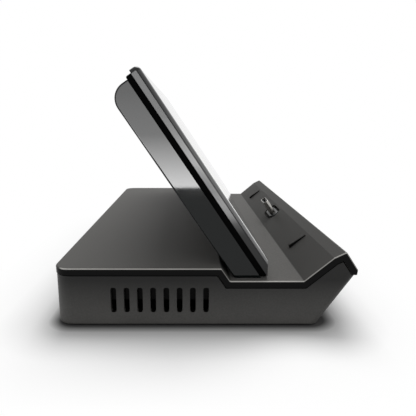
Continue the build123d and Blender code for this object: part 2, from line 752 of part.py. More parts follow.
def plug_board():
    """Small board under the carrier, on its two pegs."""
    top = -BLOCK_TOP - BLOCK_THICKNESS
    board = Pos(0, plug_board_middle(), 0) * slab(
        RectangleRounded(PLUG_BOARD_WIDTH, PLUG_BOARD_LENGTH, 0.5), top - PLUG_BOARD_THICKNESS, top
    )
    for side in (-1, 1):
        board -= post(side * PEG_OFFSET, plug_board_middle(), -20, 0, PEG_RADIUS + PILOT_CLEARANCE)
    return PLUG_FRAME * board


def plug_gasket():
    """Soft ring in the oval opening. It is let in below the ramp's face and hugs the neck."""
    sleeve = SlotOverall(APERTURE_WIDTH - 2 * GASKET_CLEARANCE, APERTURE_HEIGHT - 2 * GASKET_CLEARANCE)
    lugs = RectangleRounded(APERTURE_WIDTH + 2 * GASKET_LUG, NECK_HEIGHT, GASKET_LUG_THICKNESS)
    ring = slab(sleeve, -COVER_THICKNESS - FUSE, -GASKET_RECESS)
    ring += slab(lugs, -COVER_THICKNESS - GASKET_LUG_THICKNESS, -COVER_THICKNESS)
    neck = SlotOverall(NECK_WIDTH + 2 * GASKET_CLEARANCE, NECK_HEIGHT + 2 * GASKET_CLEARANCE)
    return RAMP_FRAME * ring - PLUG_FRAME * slab(neck, -2 * BLOCK_TOP, BLOCK_TOP)


def bracket_screw_x():
    """Distance of a bracket screw from the plug's axis."""
    return BLOCK_HALF + BRACKET_GAP + BRACKET_THICKNESS + EAR_LENGTH / 2


def pivot_bracket(side):
    """Cheek and ear that carry one end of the pivot pin."""
    inner = BLOCK_HALF + BRACKET_GAP
    outer = inner + BRACKET_THICKNESS
    across = (-BRACKET_HALF, BRACKET_HALF)
    cheek = cuboid((inner, outer), across, (-BLOCK_TOP - BLOCK_THICKNESS, -EAR_TOP))
    ear = cuboid((inner, outer + EAR_LENGTH), across, (-EAR_TOP - EAR_THICKNESS, -EAR_TOP))
    bracket = cheek + ear
    bore = Rot(0, 90, 0) * extrude(Circle(PIN_RADIUS + PIN_RUNNING / 2), inner + PIN_SEAT + PIN_RUNNING)
    bracket -= Pos(0, 0, -PIN_DEPTH) * bore
    bracket -= post(bracket_screw_x(), 0, -10, 0, BRACKET_SCREW_RADIUS + 2 * PILOT_CLEARANCE)
    bracket = bracket if side > 0 else mirror(bracket, Plane.YZ)
    return PLUG_FRAME * bracket


def pivot_pin():
    """Dowel that the carrier rocks on, trapped between blind holes in the two cheeks."""
    half = BLOCK_HALF + BRACKET_GAP + PIN_SEAT
    shaft = Rot(0, 90, 0) * extrude(Circle(PIN_RADIUS), half, both=True)
    shaft = chamfer(shaft.edges().filter_by(GeomType.CIRCLE), PIN_RADIUS / 4)
    return PLUG_FRAME * Pos(0, 0, -PIN_DEPTH) * shaft


def bracket_screws():
    """The two screws that hold the pivot brackets under the ramp."""
    seat = -EAR_TOP - EAR_THICKNESS
    length = -BRACKET_SKIN - PILOT_REACH / 2 - seat
    screws = []
    for side in (-1, 1):
        screw = pan_screw(
            side * bracket_screw_x(), 0, seat, length,
            BRACKET_SCREW_RADIUS, BRACKET_HEAD_RADIUS, BRACKET_HEAD_HEIGHT,
        )
        screws.append(PLUG_FRAME * screw)
    return group(screws)


def ribbon():
    """Flat cable from the plug board to its socket on the main board."""
    start = -BLOCK_TOP - BLOCK_THICKNESS - PLUG_BOARD_THICKNESS
    path = []
    for across in (PLUG_BOARD_START + 2, 2 * PLUG_BOARD_LENGTH):
        point = PLUG_FRAME.from_local_coords((0, across, start))
        path.append((point.Y, point.Z))
    sag_z = CASE_FLOOR + RIBBON_THICKNESS * 4
    slope = (path[1][1] - path[0][1]) / (path[1][0] - path[0][0])
    path[1] = (path[0][0] + (sag_z - path[0][1]) / slope, sag_z)
    level = BOARD_TOP + RIBBON_LIFT + RIBBON_THICKNESS / 2
    path.append((SUPPORT_Y - SHELL_THICKNESS, sag_z))
    path.append((BOARD_FRONT - RIBBON_BEND, level))
    path.append((BOARD_FRONT + RIBBON_GRIP, level))
    path.reverse()
    under = shifted(path, RIBBON_THICKNESS)
    outline = path + under[::-1]
    radii = [0, RIBBON_BEND, RIBBON_BEND, RIBBON_BEND, 0]
    strip = side_shape(outline, radii + radii)
    return cross_bar(strip, -RIBBON_WIDTH / 2, RIBBON_WIDTH / 2)


def ribbon_socket():
    """Socket at the front edge of the main board that grips the ribbon."""
    front = BOARD_FRONT + 0.4
    half = RIBBON_SOCKET_WIDTH / 2
    body = cuboid(
        (-half, half), (front, front + RIBBON_SOCKET_LENGTH), (BOARD_TOP, BOARD_TOP + RIBBON_SOCKET_HEIGHT)
    )
    body = chamfer(body.edges().filter_by(Axis.X).group_by(Axis.Z)[-1], RIBBON_SOCKET_HEIGHT / 5)
    level = BOARD_TOP + RIBBON_LIFT
    play = PILOT_CLEARANCE
    mouth = RIBBON_WIDTH / 2 + play
    return body - cuboid(
        (-mouth, mouth),
        (front - 1, BOARD_FRONT + RIBBON_GRIP + play),
        (level - RIBBON_THICKNESS / 2 - play, level + RIBBON_THICKNESS / 2 + play),
    )


def usb_outline():
    """Mouth of an accessory socket."""
    return RectangleRounded(USB_WIDTH, USB_HEIGHT, 0.6)


def hdmi_outline():
    """Mouth of the display socket, narrower at its foot."""
    half = HDMI_WIDTH / 2
    top = HDMI_HEIGHT / 2
    points = [
        (-half, top),
        (half, top),
        (half, -top * 0.35),
        (half * 0.76, -top),
        (-half * 0.76, -top),
        (-half, -top * 0.35),
    ]
    return side_shape(points, [0.5] * 6)


def power_outline():
    """Mouth of the power inlet."""
    return SlotOverall(POWER_WIDTH, POWER_HEIGHT)


def socket_outlines():
    """Outline, place across the dock and height of the centre of each socket."""
    return [
        (power_outline(), POWER_X, BOARD_TOP + POWER_HEIGHT / 2),
        (hdmi_outline(), HDMI_X, BOARD_TOP + HDMI_HEIGHT / 2),
        (usb_outline(), USB_INNER_X, BOARD_TOP + USB_HEIGHT / 2),
        (usb_outline(), USB_OUTER_X, BOARD_TOP + USB_HEIGHT / 2),
    ]


def socket_frame(x, height):
    """Plane of a socket's mouth, looking out of the rear."""
    return Plane(origin=(x, CASE_REAR - SOCKET_SETBACK, height), x_dir=(-1, 0, 0), z_dir=(0, 1, 0))


def socket_shell(outline, x, height, depth, width):
    """Folded metal shell, closed at its back, with four tails through the board."""
    inner = offset(outline, -SHELL_SHEET)
    shell = slab(outline, -depth, 0) - slab(inner, -depth + SHELL_SHEET, 0)
    shell = socket_frame(x, height) * shell
    for tail_x, tail_y in tail_places(x, depth, width):
        shell += cuboid(
            (tail_x - SHELL_SHEET, tail_x),
            (tail_y - TAIL_LENGTH / 2, tail_y + TAIL_LENGTH / 2),
            (BOARD_UNDER - TAIL_PROUD, BOARD_TOP + SHELL_SHEET / 2),
        )
    return shell


def tail_places(x, depth, width):
    """Where a socket's tails pass through the board."""
    mouth = CASE_REAR - SOCKET_SETBACK
    half = width * 0.3
    rows = (mouth - depth + TAIL_LENGTH, mouth - depth * 0.5)
    return [(x + side * half, y) for side in (-1, 1) for y in rows]


def socket_insulator(outline, x, height, depth, tongue_width, tongue_height, tongue_length, lift):
    """Plastic back and tongue inside a socket shell."""
    inner = offset(outline, -SHELL_SHEET - PLUG_FIT)
    back = slab(inner, -depth + SHELL_SHEET, -depth + SHELL_SHEET + depth / 4)
    root = -depth + SHELL_SHEET
    tip = root + depth / 4 + tongue_length
    tongue_face = RectangleRounded(tongue_width, tongue_height, tongue_height / 4)
    tongue = Pos(0, lift, 0) * slab(tongue_face, root, tip)
    return socket_frame(x, height) * (back + tongue)


def socket_sizes():
    """Every socket by name: its outline, place, depth, width and tongue."""
    power, hdmi, usb_inner, usb_outer = socket_outlines()
    usb_tongue = (11.2, 1.9, 8.6, 0.9)
    return {
        "power": (*power, POWER_DEPTH, POWER_WIDTH, (6.7, 0.7, 4.4, 0.0)),
        "hdmi": (*hdmi, HDMI_DEPTH, HDMI_WIDTH, (11.6, 1.3, 7.0, 0.3)),
        "usb_inner": (*usb_inner, USB_DEPTH, USB_WIDTH, usb_tongue),
        "usb_outer": (*usb_outer, USB_DEPTH, USB_WIDTH, usb_tongue),
    }


def main_board():
    """Printed board, drilled for its screws and for the sockets' tails."""
    length = BOARD_REAR - BOARD_FRONT
    outline = RectangleRounded(2 * BOARD_HALF, length, BOARD_CORNER)
    board = Pos(0, (BOARD_REAR + BOARD_FRONT) / 2, 0) * slab(outline, BOARD_UNDER, BOARD_TOP)
    for x, y in board_screw_places():
        board -= post(x, y, 0, BOX_TOP, BOARD_SCREW_RADIUS + HOLE_CLEARANCE)
    for _, x, _, depth, width, _ in socket_sizes().values():
        for tail_x, tail_y in tail_places(x, depth, width):
            board -= cuboid(
                (tail_x - SHELL_SHEET - TAIL_CLEARANCE, tail_x + TAIL_CLEARANCE),
                (tail_y - TAIL_LENGTH / 2 - TAIL_CLEARANCE, tail_y + TAIL_LENGTH / 2 + TAIL_CLEARANCE),
                (0, BOX_TOP),
            )
    return board


def chip(x, y, size, height):
    """Square package on the main board."""
    body = slab(Rectangle(size, size), BOARD_TOP, BOARD_TOP + height)
    return Pos(x, y, 0) * chamfer(body.edges().group_by(Axis.Z)[-1], height / 5)


def shield_can():
    """Folded sheet lid over the video chip."""
    outer = slab(RectangleRounded(CAN_WIDTH, CAN_LENGTH, 1.5), BOARD_TOP, BOARD_TOP + CAN_HEIGHT)
    sheet = 2 * SHELL_SHEET
    inner = slab(
        RectangleRounded(CAN_WIDTH - sheet, CAN_LENGTH - sheet, 1.2), 0, BOARD_TOP + CAN_HEIGHT - SHELL_SHEET
    )
    can = fillet(outer.edges().group_by(Axis.Z)[-1], SHELL_SHEET) - inner
    return Pos(CAN_X, CAN_Y, 0) * can


def thermal_pad():
    """Soft pad that fills the space between the video chip and the can."""
    side = VIDEO_CHIP - 1
    low = BOARD_TOP + VIDEO_CHIP_HEIGHT
    return Pos(CAN_X, CAN_Y, 0) * slab(Rectangle(side, side), low, BOARD_TOP + CAN_HEIGHT - SHELL_SHEET)


def power_inductors():
    """Two moulded inductors of the power stage."""
    coils = []
    for y in (CAN_Y - INDUCTOR, CAN_Y + INDUCTOR):
        body = slab(RectangleRounded(INDUCTOR, INDUCTOR, 1.2), BOARD_TOP, BOARD_TOP + INDUCTOR_HEIGHT)
        coils.append(Pos(USB_OUTER_X, y - INDUCTOR / 2, 0) * body)
    return Compound(children=coils)


def capacitors():
    """Row of round capacitors beside the power inlet."""
    cans = []
    for number in range(3):
        x = POWER_X - (number - 1) * CAPACITOR_PITCH
        can = post(x, CAN_Y, BOARD_TOP, BOARD_TOP + CAPACITOR_HEIGHT, CAPACITOR_RADIUS)
        cans.append(fillet(can.edges().group_by(Axis.Z)[-1], CAPACITOR_RADIUS / 6))
    return Compound(children=cans)


def group(screws):
    """Identical fasteners as separate solids of one node."""
    return Compound(children=[solid for screw in screws for solid in screw.solids()])


def build():
    """Every piece of the dock, by name."""
    pieces = {
        "top_cover": top_cover(),
        "bottom_case": bottom_case(),
        "support_rear_shell": support_rear_shell(),
        "support_core": support_core(),
        "support_front_plate": support_front_plate(),
        "plug_shell": plug_shell(),
        "plug_insert": plug_insert(),
        "plug_carrier": plug_carrier(),
        "plug_board": plug_board(),
        "plug_gasket": plug_gasket(),
        "pivot_pin": pivot_pin(),
        "pivot_bracket_left": pivot_bracket(-1),
        "pivot_bracket_right": pivot_bracket(1),
        "bracket_screws": bracket_screws(),
        "ribbon": ribbon(),
        "ribbon_socket": ribbon_socket(),
        "main_board": main_board(),
        "shield_can": shield_can(),
        "thermal_pad": thermal_pad(),
        "video_chip": chip(CAN_X, CAN_Y, VIDEO_CHIP, VIDEO_CHIP_HEIGHT),
        "hub_chip": chip(USB_INNER_X, CAN_Y, HUB_CHIP, HUB_CHIP_HEIGHT),
        "power_chip": chip(USB_OUTER_X + 2 * POWER_CHIP, CAN_Y, POWER_CHIP, POWER_CHIP_HEIGHT),
        "power_inductors": power_inductors(),
        "capacitors": capacitors(),
    }
    for name, (x, y) in foot_places().items():
        pieces[name] = foot(x, y)
    for name, (outline, x, height, depth, width, tongue) in socket_sizes().items():
        pieces[f"{name}_socket_shell"] = socket_shell(outline, x, height, depth, width)
        pieces[f"{name}_socket_insulator"] = socket_insulator(outline, x, height, depth, *tongue)
    pieces["case_screws"] = group([
        pan_screw(x, y, SEAT_HEIGHT, CASE_SCREW_LENGTH, CASE_SCREW_RADIUS, CASE_HEAD_RADIUS, CASE_HEAD_HEIGHT)
        for x, y in case_screw_places()
    ])
    support_length = COVER_THICKNESS + SUPPORT_SCREW_GRIP
    pieces["support_screws"] = group([
        pan_screw(
            x, y, CRADLE_UNDER, support_length, SUPPORT_SCREW_RADIUS, SUPPORT_HEAD_RADIUS, SUPPORT_HEAD_HEIGHT
        )
        for x, y in support_screw_places()
    ])
    board_length = BOARD_TOP - FOOT_PROUD - BOARD_SCREW_FLOOR - PILOT_REACH
    pieces["board_screws"] = group([
        pan_screw(
            x, y, BOARD_TOP, board_length, BOARD_SCREW_RADIUS, BOARD_HEAD_RADIUS, BOARD_HEAD_HEIGHT, up=False
        )
        for x, y in board_screw_places()
    ])
    return pieces


os.makedirs("parts", exist_ok=True)
for node, piece in build().items():
    export_step(piece, f"parts/{node}.step")
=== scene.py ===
from math import cos, pi, radians, sin

import bmesh
import bpy
from mathutils import Matrix, Vector


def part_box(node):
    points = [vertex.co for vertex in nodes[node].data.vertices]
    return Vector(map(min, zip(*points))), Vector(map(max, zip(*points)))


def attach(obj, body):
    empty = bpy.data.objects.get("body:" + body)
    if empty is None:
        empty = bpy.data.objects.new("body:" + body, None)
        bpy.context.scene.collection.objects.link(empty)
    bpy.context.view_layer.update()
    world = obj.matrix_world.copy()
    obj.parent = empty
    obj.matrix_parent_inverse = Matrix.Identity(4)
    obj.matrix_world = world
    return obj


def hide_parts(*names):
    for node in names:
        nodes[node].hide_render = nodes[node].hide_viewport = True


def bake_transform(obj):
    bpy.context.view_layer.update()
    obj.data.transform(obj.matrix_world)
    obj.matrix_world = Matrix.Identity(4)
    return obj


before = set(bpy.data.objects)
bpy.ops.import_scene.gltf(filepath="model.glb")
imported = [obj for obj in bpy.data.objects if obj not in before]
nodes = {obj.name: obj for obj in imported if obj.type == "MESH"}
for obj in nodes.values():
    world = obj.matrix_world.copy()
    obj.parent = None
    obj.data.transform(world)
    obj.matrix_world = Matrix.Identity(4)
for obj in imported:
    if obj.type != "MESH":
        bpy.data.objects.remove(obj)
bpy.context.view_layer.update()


# Camera: from the dock's left end, a little above the table
IMAGE_SIZE = 416
FOCAL_PIXELS = 411
CENTRE_COLUMN = 189
SENSOR_WIDTH = 36
PITCH = 11.763
CAMERA_PLACE = (-0.1876, 0.0046, 0.05937)


def add_camera():
    data = bpy.data.cameras.new("camera")
    data.sensor_width = SENSOR_WIDTH
    data.lens = SENSOR_WIDTH * FOCAL_PIXELS / IMAGE_SIZE
    data.shift_x = (IMAGE_SIZE / 2 - CENTRE_COLUMN) / IMAGE_SIZE
    data.clip_start = 0.01
    data.clip_end = 20
    camera = bpy.data.objects.new("camera", data)
    camera.location = CAMERA_PLACE
    camera.rotation_euler = (radians(90 - PITCH), 0, radians(-90))
    bpy.context.scene.collection.objects.link(camera)
    bpy.context.scene.camera = camera


# Node helpers
class Recipe:
    """One material's node tree, with short calls for the nodes that it uses."""

    def __init__(self, name):
        self.material = bpy.data.materials.new(name)
        self.material.use_nodes = True
        self.tree = self.material.node_tree
        self.shader = self.tree.nodes["Principled BSDF"]
        self.output = self.tree.nodes["Material Output"]
        self.coordinates = self.add("ShaderNodeTexCoord")
        self.place = self.coordinates.outputs["Object"]

    def add(self, kind, **settings):
        node = self.tree.nodes.new(kind)
        for key, value in settings.items():
            setattr(node, key, value)
        return node

    def link(self, source, target):
        self.tree.links.new(source, target)

    def stretched(self, scale):
        """The point's place with each axis scaled: under 1 draws a pattern out along it."""
        node = self.add("ShaderNodeMapping")
        self.link(self.place, node.inputs["Vector"])
        node.inputs["Scale"].default_value = scale
        return node.outputs["Vector"]

    def noise(self, size, detail=2.0, roughness=0.5, vector=None, seed=0.0):
        """Noise whose features are about size metres across."""
        node = self.add("ShaderNodeTexNoise", noise_dimensions="4D")
        self.link(vector or self.place, node.inputs["Vector"])
        node.inputs["W"].default_value = seed
        node.inputs["Scale"].default_value = 1 / size
        node.inputs["Detail"].default_value = detail
        node.inputs["Roughness"].default_value = roughness
        return node.outputs["Fac"]

    def cells(self, size):
        """Distance to the nearest of scattered points, about size metres apart."""
        node = self.add("ShaderNodeTexVoronoi")
        self.link(self.place, node.inputs["Vector"])
        node.inputs["Scale"].default_value = 1 / size
        return node.outputs["Distance"]

    def bands(self, scale, direction):
        """Waves along an axis of the object, more of them as the scale grows."""
        node = self.add("ShaderNodeTexWave", wave_type="BANDS", bands_direction=direction)
        self.link(self.place, node.inputs["Vector"])
        node.inputs["Scale"].default_value = scale
        return node.outputs["Fac"]

    def spread(self, factor, low, high, start=0.3, end=0.7):
        """Low to high, as the factor goes from start to end."""
        node = self.add("ShaderNodeMapRange")
        self.link(factor, node.inputs["Value"])
        for key, value in (
            ("From Min", start),
            ("From Max", end),
            ("To Min", low),
            ("To Max", high),
        ):
            node.inputs[key].default_value = value
        return node.outputs["Result"]

    def between(self, factor, first, second):
        """Colour from first to second, each a tuple or another node's colour."""
        node = self.add("ShaderNodeMix", data_type="RGBA")
        self.link(factor, node.inputs["Factor"])
        for value, name in ((first, "A"), (second, "B")):
            if isinstance(value, tuple):
                node.inputs[name].default_value = (*value, 1)
            else:
                self.link(value, node.inputs[name])
        return node.outputs["Result"]

    def blended(self, factor, first, second):
        """Number from first to second, both from other nodes."""
        node = self.add("ShaderNodeMix")
        for source, name in ((factor, "Factor"), (first, "A"), (second, "B")):
            self.link(source, node.inputs[name])
        return node.outputs["Result"]

    def product(self, *factors):
        result = factors[0]
        for factor in factors[1:]:
            node = self.add("ShaderNodeMath", operation="MULTIPLY")
            self.link(result, node.inputs[0])
            self.link(factor, node.inputs[1])
            result = node.outputs[0]
        return result

    def component(self, vector, axis):
        node = self.add("ShaderNodeSeparateXYZ")
        self.link(vector, node.inputs[0])
        return node.outputs[axis]

    def magnitude(self, value):
        node = self.add("ShaderNodeMath", operation="ABSOLUTE")
        self.link(value, node.inputs[0])
        return node.outputs[0]

    def turned(self, axis):
        """How far the surface looks along an axis of the object, from -1 to 1."""
        return self.component(self.coordinates.outputs["Normal"], axis)

    def facing(self, axis):
        """How far the surface looks along an axis either way, from 0 to 1."""
        return self.magnitude(self.turned(axis))

    def relief(self, factor, depth, strength=1.0):
        """Bumps that rise by depth metres as the factor goes from 0 to 1."""
        node = self.add("ShaderNodeBump")
        node.inputs["Strength"].default_value = strength
        node.inputs["Distance"].default_value = depth
        self.link(factor, node.inputs["Height"])
        self.link(node.outputs["Normal"], self.shader.inputs["Normal"])

    def set(self, **values):
        """Each socket of the shader gets a number, a colour or a link."""
        for key, value in values.items():
            name = key.replace("_", " ").title().replace("Ior", "IOR")
            socket = self.shader.inputs[name]
            if isinstance(value, bpy.types.NodeSocket):
                self.link(value, socket)
            elif isinstance(value, tuple):
                socket.default_value = (*value, 1)
            else:
                socket.default_value = value


def grey(level, tint=(1, 1, 1)):
    return tuple(level * t for t in tint)


# Plastics: sizes in metres, levels as linear grey
WARM = (1.02, 1.0, 0.955)
COOL = (0.93, 1.0, 1.04)
PLASTIC_IOR = 1.5
PIT_SIZE = 0.00016
PIT_DEPTH = 0.000012
FLECKS_TO_PITS = 2.5
FLECK_CONTRAST = 0.1
DRIFT_SIZE = 0.018
ROUGHNESS_DRIFT = 0.03


def flecked(r, size, level, tint):
    """Colour that wavers a little, in flecks of this size."""
    fleck = r.noise(size, detail=1, seed=7)
    dim, bright = 1 - FLECK_CONTRAST, 1 + FLECK_CONTRAST
    return r.between(r.spread(fleck, 0, 1), grey(level * dim, tint), grey(level * bright, tint))


def eroded_plastic(name, level, tint, roughness, pit_size=PIT_SIZE, specular=0.5):
    """Moulded plastic from a spark-eroded tool: fine pits, and slow drifts of tone and gloss."""
    r = Recipe(name)
    pits = r.noise(pit_size, detail=3, roughness=0.6)
    drift = r.noise(DRIFT_SIZE, seed=3)
    r.set(
        base_color=flecked(r, pit_size * FLECKS_TO_PITS, level, tint),
        roughness=r.spread(drift, roughness - ROUGHNESS_DRIFT, roughness + ROUGHNESS_DRIFT),
        ior=PLASTIC_IOR,
        specular_ior_level=specular,
    )
    r.relief(pits, PIT_DEPTH)
    return r.material


TUB_PIT_SIZE = 0.00022
TUB_PIT_DEPTH = 0.00002
TUB_FLECK_SIZE = 0.0005
TUB_FLECK_CONTRAST = 0.2
TUB_CLOUD_SIZE = 0.012
TUB_BOUNCE_FROM_TO = (0.001, 0.0145)
TUB_LEDGE_SHADE_FROM_TO = (0.6, 0.9)
TUB_LEDGE_SHADE_LEVEL = 0.1
TUB_SPECULAR = 0.28


def tub_plastic(name, level, bounce_level, tint, roughness):
    """The tub's coarser plastic: painted bounce light pales it towards the table, and painted
    shade darkens ledges.
    """
    r = Recipe(name)
    pits = r.noise(TUB_PIT_SIZE, detail=3, roughness=0.6)
    fleck = r.noise(TUB_FLECK_SIZE, detail=1, seed=7)
    cloud = r.noise(TUB_CLOUD_SIZE, seed=3)
    # Painted bounce light: paler towards the table, broken up a little by the cloud
    near_table = r.spread(r.component(r.place, "Z"), 1, 0, *TUB_BOUNCE_FROM_TO)
    low = r.product(near_table, r.spread(cloud, 0.85, 1.0))
    plain = r.between(low, grey(level, tint), grey(bounce_level, tint))
    bright = 1 + TUB_FLECK_CONTRAST
    pale = r.between(low, grey(level * bright, tint), grey(bounce_level * bright, tint))
    skin = r.between(r.spread(fleck, 0, 1), plain, pale)
    # Painted shade: surfaces that face up, such as the wall tops in the seam, turn dark
    ledge_shade = r.spread(r.turned("Z"), 0, 1, *TUB_LEDGE_SHADE_FROM_TO)
    r.set(
        base_color=r.between(ledge_shade, skin, grey(level * TUB_LEDGE_SHADE_LEVEL)),
        roughness=r.spread(cloud, roughness - ROUGHNESS_DRIFT, roughness + ROUGHNESS_DRIFT),
        ior=PLASTIC_IOR,
        specular_ior_level=TUB_SPECULAR,
    )
    r.relief(pits, TUB_PIT_DEPTH)
    return r.material


COVER_SPECULAR = 0.035
COVER_END_FROM_TO = (0.0735, 0.0742)
COVER_UPRIGHT_FROM_TO = (0.05, 0.2)
COVER_SLOPE_SHADE_FROM_TO = (0.05, 0.5)
COVER_SLOPE_SHADE_LEVEL = 0.55
COVER_RIM_RELIEF = 0.1
COVER_RIM_ROUGHNESS = 0.22
EDGE_SIDEWAYS_FROM_TO = (0.28, 0.45)
EDGE_UPRIGHT_FROM_TO = (0.9, 0.99)
EDGE_UPWARD_FROM_TO = (0.12, 0.3)
EDGE_SLOPE_FROM_TO = (0.33, 0.6)
EDGE_ON_SLOPES = 0.12
HIGHLIGHT_BREAK_SIZE = 0.004
HIGHLIGHT_BREAK_FROM = 0.7


def rimmed_plastic(name, level, tint, roughness, rim_level, highlight_level):
    """The cover's plastic: eroded top partly greyed by painted sheen, smooth black rim, painted
    edge highlights.
    """
    r = Recipe(name)
    pits = r.noise(PIT_SIZE, detail=3, roughness=0.6)
    highlight_breaks = r.noise(HIGHLIGHT_BREAK_SIZE, detail=3, vector=r.stretched((1, 0.4, 1)), seed=3)
    skin = flecked(r, PIT_SIZE * FLECKS_TO_PITS, level, tint)
    # Painted shade: the ramp and the lip, which look along Y, are darker
    slope_shade = r.spread(r.facing("Y"), 0, 1, *COVER_SLOPE_SHADE_FROM_TO)
    skin = r.between(slope_shade, skin, grey(level * COVER_SLOPE_SHADE_LEVEL, tint))
    # The top's grey is partly painted sheen; the upright rim keeps the plastic's own near-black
    upright = r.spread(r.facing("Z"), 1, 0, *COVER_UPRIGHT_FROM_TO)
    skin = r.between(upright, skin, grey(rim_level))
    # Painted highlight: the fillets along the end edges, between top and end, lighter in broken
    # streaks
    sideways = r.facing("X")
    painted_highlight = r.product(
        r.spread(sideways, 0, 1, *EDGE_SIDEWAYS_FROM_TO),
        r.spread(sideways, 1, 0, *EDGE_UPRIGHT_FROM_TO),
        r.spread(r.turned("Z"), 0, 1, *EDGE_UPWARD_FROM_TO),
        r.spread(r.facing("Y"), 1, EDGE_ON_SLOPES, *EDGE_SLOPE_FROM_TO),
        r.spread(r.magnitude(r.component(r.place, "X")), 0, 1, *COVER_END_FROM_TO),
        r.spread(highlight_breaks, HIGHLIGHT_BREAK_FROM, 1.0),
    )
    r.set(
        base_color=r.between(painted_highlight, skin, grey(highlight_level, tint)),
        roughness=r.spread(upright, roughness, COVER_RIM_ROUGHNESS, 0, 1),
        ior=PLASTIC_IOR,
        specular_ior_level=COVER_SPECULAR,
    )
    r.relief(r.product(pits, r.spread(upright, 1, COVER_RIM_RELIEF, 0, 1)), PIT_DEPTH)
    return r.material


PIANO_IOR = 1.52
PEEL_SIZE = 0.0022
PEEL_DEPTH = 0.0000016
HAZE_SIZE = 0.012
HAZE_CONTRAST = 0.15
HAIRLINE_SIZE = 0.0005
FACE_GRAIN_SIZE = 0.0003
HAIRLINE_FROM_TO = (0.1, 0.4)
SIDEWAYS_FROM_TO = (0.2, 0.8)


def piano_plastic(name, level, tint, roughness, specular, face_roughness=None):
    """Polished black plastic: a faint orange peel, and dust and hairlines that change its gloss.

    With a face_roughness, only what looks sideways keeps the first roughness.
    """
    r = Recipe(name)
    peel = r.noise(PEEL_SIZE, detail=1, seed=2)
    haze = r.noise(HAZE_SIZE, detail=3, seed=5)
    hairs = r.noise(HAIRLINE_SIZE, vector=r.stretched((1, 0.06, 1)), seed=9)
    dust = r.product(haze, hairs)
    gloss = r.spread(dust, roughness * 0.7, roughness * 1.5, *HAIRLINE_FROM_TO)
    if face_roughness:
        grain = r.noise(FACE_GRAIN_SIZE, seed=6)
        face_gloss = r.spread(grain, face_roughness * 0.9, face_roughness * 1.1)
        sideways = r.spread(r.facing("X"), 0, 1, *SIDEWAYS_FROM_TO)
        gloss = r.blended(sideways, face_gloss, gloss)
    dim, bright = 1 - HAZE_CONTRAST, 1 + HAZE_CONTRAST
    r.set(
        base_color=r.between(
            r.spread(haze, 0, 1), grey(level * dim, tint), grey(level * bright, tint)
        ),
        roughness=gloss,
        ior=PIANO_IOR,
        specular_ior_level=specular,
    )
    r.relief(peel, PEEL_DEPTH)
    return r.material


# Metals, rubbers and electronics
ROLLING_LINE_SIZE = 0.00012
ROLLING_LINE_DEPTH = 0.0000012
TARNISH_SIZE = 0.003
TARNISH_LEVEL = 0.9
POWDER_SIZE = 0.0009
PORE_SIZE = 0.00028
PORE_DEPTH = 0.00002
STRIPS_SCALE = 320
TURNING_SCALE = 900
STAIN_SIZE = 0.0015
CRUMB_SIZE = 0.0004


def plated_metal(name, colour, roughness):
    """Nickel, tin or gold on stamped sheet: rolling lines, and tarnish that drifts slowly."""
    r = Recipe(name)
    lines = r.noise(ROLLING_LINE_SIZE, vector=r.stretched((1, 0.05, 1)))
    tarnish = r.noise(TARNISH_SIZE, detail=3, seed=4)
    dull = tuple(c * TARNISH_LEVEL for c in colour)
    r.set(
        base_color=r.between(r.spread(tarnish, 0, 1), dull, colour),
        metallic=1.0,
        roughness=r.spread(lines, roughness * 0.8, roughness * 1.3),
    )
    r.relief(lines, ROLLING_LINE_DEPTH, 0.5)
    return r.material


def soft_rubber(name, level):
    """Matt rubber with pores, and powder that pales it in places."""
    r = Recipe(name)
    powder = r.noise(POWDER_SIZE, detail=4, seed=1)
    pores = r.cells(PORE_SIZE)
    r.set(
        base_color=r.between(r.spread(powder, 0, 1), grey(level * 0.7), grey(level * 1.5)),
        roughness=r.spread(powder, 0.72, 0.9),
    )
    r.relief(pores, PORE_DEPTH, 0.6)
    return r.material


def circuit_board(name):
    """Solder mask over copper: a lighter green where tracks run under it."""
    r = Recipe(name)
    tracks = r.add("ShaderNodeTexBrick")
    r.link(r.place, tracks.inputs["Vector"])
    tracks.inputs["Scale"].default_value = 260
    tracks.inputs["Color1"].default_value = (0.006, 0.045, 0.020, 1)
    tracks.inputs["Color2"].default_value = (0.009, 0.062, 0.028, 1)
    tracks.inputs["Mortar"].default_value = (0.018, 0.115, 0.050, 1)
    tracks.inputs["Mortar Size"].default_value = 0.035
    vias = r.cells(0.0016)
    r.set(
        base_color=tracks.outputs["Color"],
        roughness=r.spread(vias, 0.28, 0.42, 0.1, 0.6),
        coat_weight=0.3,
    )
    r.relief(tracks.outputs["Fac"], 0.00002)
    return r.material


def film_cable(name):
    """White film over flat copper strips that show through it as darker lines."""
    r = Recipe(name)
    strips = r.bands(STRIPS_SCALE, "X")
    r.set(
        base_color=r.between(strips, (0.62, 0.63, 0.64), (0.42, 0.41, 0.40)),
        roughness=r.spread(strips, 0.32, 0.42, 0, 1),
    )
    r.relief(strips, 0.00003)
    return r.material


def zinc_screw(name):
    """Black zinc on steel, with the rings that turning leaves."""
    r = Recipe(name)
    rings = r.bands(TURNING_SCALE, "Z")
    stain = r.noise(STAIN_SIZE, detail=3)
    r.set(
        base_color=r.between(
            r.spread(stain, 0, 1), (0.035, 0.035, 0.038), (0.085, 0.085, 0.09)
        ),
        metallic=0.9,
        roughness=r.spread(stain, 0.28, 0.45),
    )
    r.relief(rings, 0.000006)
    return r.material


def gap_filler(name):
    """Soft filled silicone with a crumbly surface."""
    r = Recipe(name)
    crumbs = r.noise(CRUMB_SIZE, detail=4)
    r.set(
        base_color=r.between(r.spread(crumbs, 0, 1), (0.20, 0.25, 0.34), (0.30, 0.35, 0.45)),
        roughness=r.spread(crumbs, 0.6, 0.8),
    )
    r.relief(crumbs, 0.00003)
    return r.material
